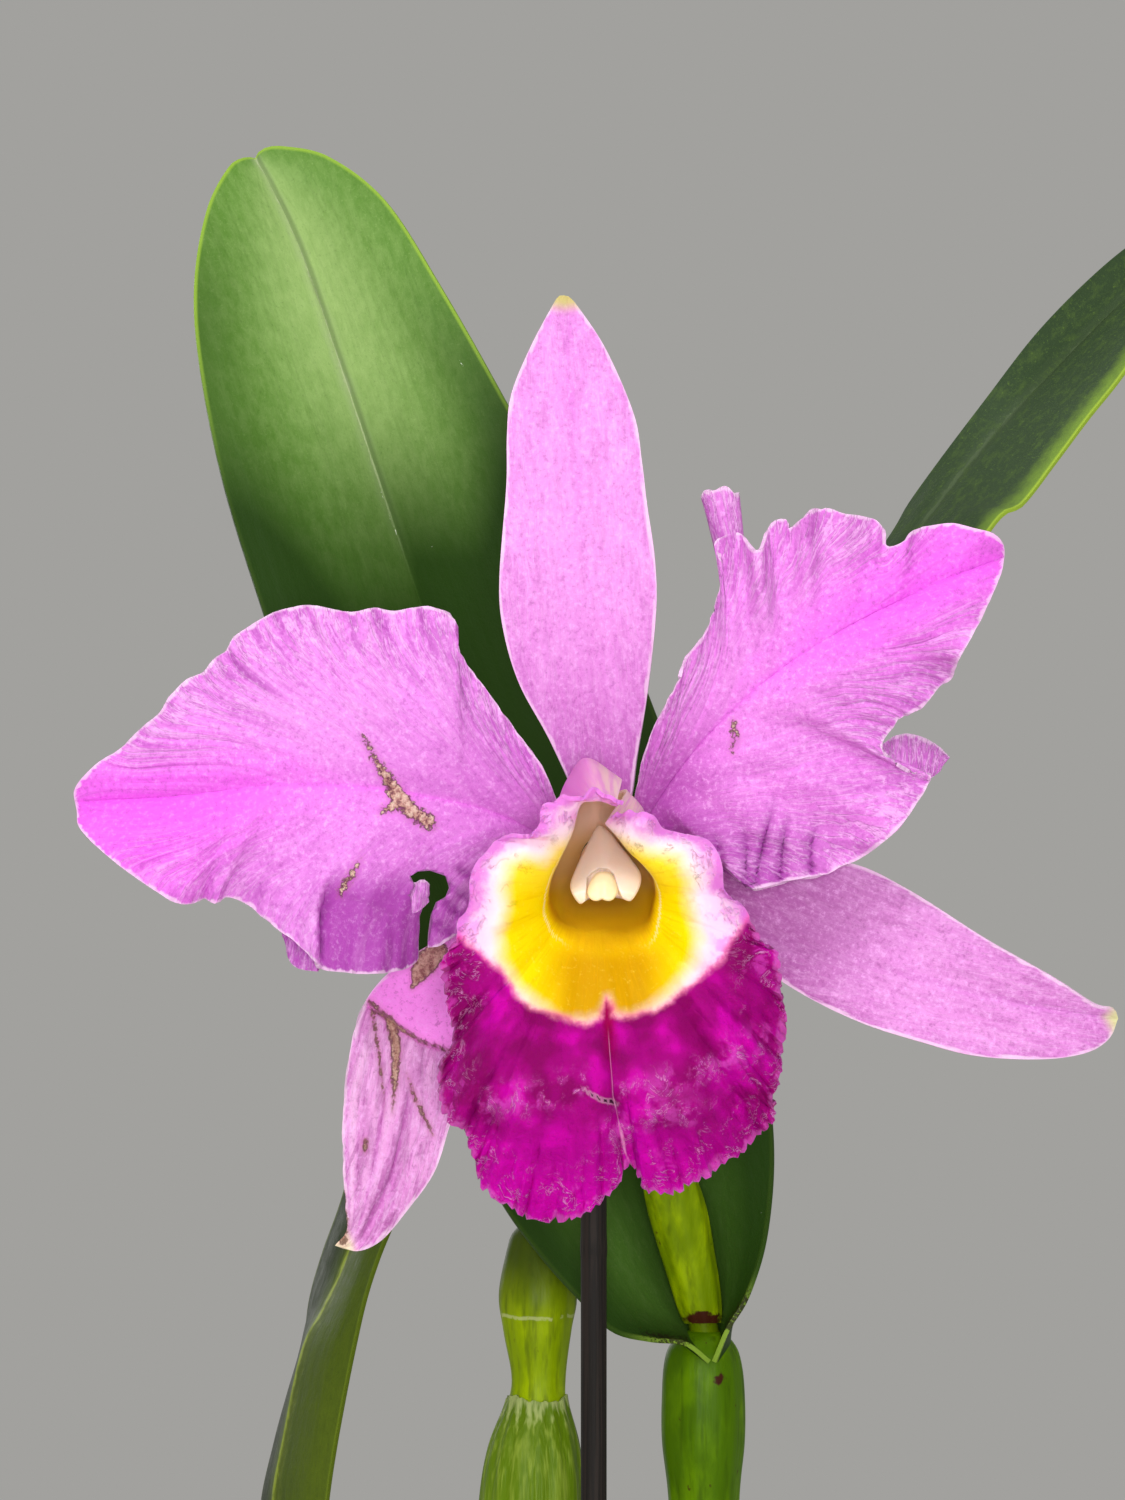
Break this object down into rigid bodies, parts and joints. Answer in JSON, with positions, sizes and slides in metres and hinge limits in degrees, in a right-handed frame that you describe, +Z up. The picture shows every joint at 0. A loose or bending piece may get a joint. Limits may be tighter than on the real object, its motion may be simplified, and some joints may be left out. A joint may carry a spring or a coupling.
{
  "type": "cattleya orchid",
  "caption": "Flowering cattleya orchid: a ruffled mauve flower with a magenta and yellow lip, leathery leaves on stem bulbs, growing in bark in a plain clay pot.",
  "frame": {"origin": "centre of the pot's flat underside", "axes": "+Z up the plant; the flower faces -Y; +X to the viewer's right"},
  "size_m": [0.1923, 0.1944, 0.4014],
  "materials": {
    "petal": "satin",
    "sepal": "satin",
    "lip": "satin",
    "column": "satin",
    "anther": "satin",
    "leaf": "satin",
    "stem": "satin",
    "bulb": "satin",
    "rhizome": "matt",
    "root": "matt",
    "bark": "matt",
    "clay": "matt",
    "stake": "satin"
  },
  "bodies": {
    "root": {"petal_left": "petal", "petal_right": "petal", "dorsal_sepal": "sepal", "lateral_sepal_left": "sepal", "lateral_sepal_right": "sepal", "lip": "lip", "column": "column", "anther_cap": "anther", "leaf_front": "leaf", "leaf_right": "leaf", "leaf_left": "leaf", "flower_stem": "stem", "flower_sheath": "stem", "pseudobulb_front": "bulb", "pseudobulb_middle": "bulb", "pseudobulb_back": "bulb", "pseudobulb_old": "bulb", "rhizome": "rhizome", "root_1": "root", "root_2": "root", "root_3": "root", "root_4": "root", "root_5": "root", "root_6": "root", "bark_medium": "bark", "pot": "clay", "stake": "stake"}
  },
  "joints": []
}
